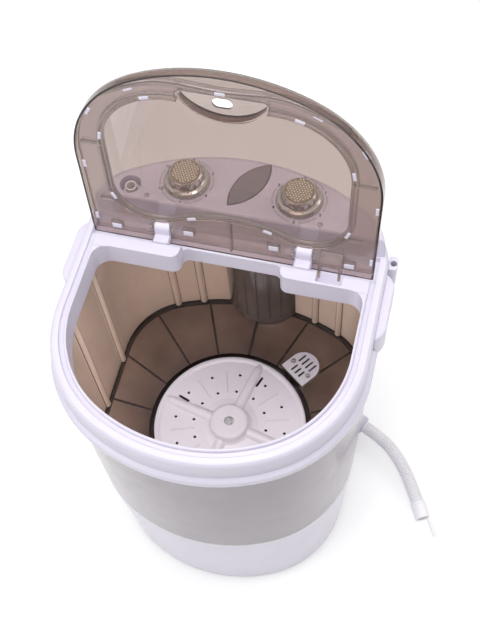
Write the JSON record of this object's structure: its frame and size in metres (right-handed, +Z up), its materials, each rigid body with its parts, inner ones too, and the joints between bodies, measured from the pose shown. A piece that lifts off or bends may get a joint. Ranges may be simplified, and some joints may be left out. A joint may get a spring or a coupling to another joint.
{
  "type": "portable washing machine",
  "caption": "Small portable washing machine with an oval see-through tub, bladed pulsator, hinged smoky lid, rear control panel with timer knobs and a short ribbed drain hose.",
  "frame": {"origin": "on the floor, under the centre of the bounding box of the part without its hose", "axes": "+Z up, +Y to the rear where the control panel is, +X to the right of a user standing in front"},
  "size_m": [0.506, 0.396, 0.7872],
  "materials": {
    "white_plastic": "satin moulded plastic, white with a slight lilac cast",
    "smoky_plastic": "glossy see-through smoky plastic",
    "brown_plastic": "glossy brown smoky plastic",
    "clear_plastic": "clear glossy plastic",
    "pulsator_plastic": "satin off-white plastic",
    "grey_plastic": "plain grey plastic",
    "hose_plastic": "pale grey ribbed plastic",
    "rubber": "black rubber",
    "steel": "plain steel",
    "bronze": "sintered bronze",
    "motor_paint": "dark painted steel"
  },
  "bodies": {
    "cabinet": {"base_housing": "white_plastic", "top_frame": "white_plastic", "rear_cover": "white_plastic", "control_panel": "white_plastic", "side_grip_left": "white_plastic", "side_grip_right": "white_plastic", "hose_socket": "white_plastic", "hose_connector": "white_plastic", "tub_wall": "smoky_plastic", "tub_pan": "brown_plastic", "overflow_cover": "brown_plastic", "panel_inlay": "brown_plastic", "drain_filter": "pulsator_plastic", "base_plate": "grey_plastic", "water_inlet": "grey_plastic", "wash_timer": "grey_plastic", "spin_timer": "grey_plastic", "drain_pipe": "grey_plastic", "capacitor": "grey_plastic", "drain_hose": "hose_plastic", "hose_cuff": "hose_plastic", "feet": "rubber", "cord_gland": "rubber", "drive_belt": "rubber", "shaft_seal": "rubber", "base_screws": "steel", "filter_screws": "steel", "motor_screws": "steel", "motor_bracket": "steel", "shaft_bearing": "bronze", "motor": "motor_paint"},
    "lid": {"lid_shell": "smoky_plastic", "lid_inner_frame": "smoky_plastic", "lid_grip_cup": "smoky_plastic", "lid_clips": "pulsator_plastic", "hinge_pins": "steel"},
    "wash_dial": {"wash_knob": "clear_plastic", "wash_timer_shaft": "steel"},
    "spin_dial": {"spin_knob": "clear_plastic", "spin_timer_shaft": "steel"},
    "agitator": {"pulsator": "pulsator_plastic", "pulsator_screw": "steel", "drive_shaft": "steel", "driven_pulley": "grey_plastic"},
    "motor_rotor": {"motor_shaft": "steel", "rotor_core": "steel", "motor_pulley": "grey_plastic"}
  },
  "joints": [
    {"name": "lid_hinge", "type": "hinge", "parent": "cabinet", "child": "lid", "pos_m": [0, 0.082, 0.527], "axis": [1, 0, 0], "range_deg": [0, 94.45]},
    {"name": "wash_dial_turn", "type": "hinge", "parent": "cabinet", "child": "wash_dial", "pos_m": [-0.067, 0.135, 0.555], "axis": [0, 0, -1], "range_deg": [0, 300]},
    {"name": "spin_dial_turn", "type": "hinge", "parent": "cabinet", "child": "spin_dial", "pos_m": [0.067, 0.135, 0.555], "axis": [0, 0, -1], "range_deg": [0, 300]},
    {"name": "agitator_spin", "type": "hinge", "parent": "cabinet", "child": "agitator", "pos_m": [0, -0.019, 0.2], "axis": [0, 0, 1], "continuous": true},
    {"name": "motor_spin", "type": "hinge", "parent": "cabinet", "child": "motor_rotor", "pos_m": [0, 0.1, 0.05], "axis": [0, 0, 1], "continuous": true}
  ],
  "couplings": [
    {"joint": "motor_spin", "follows": "agitator_spin", "ratio": 3.5714}
  ]
}
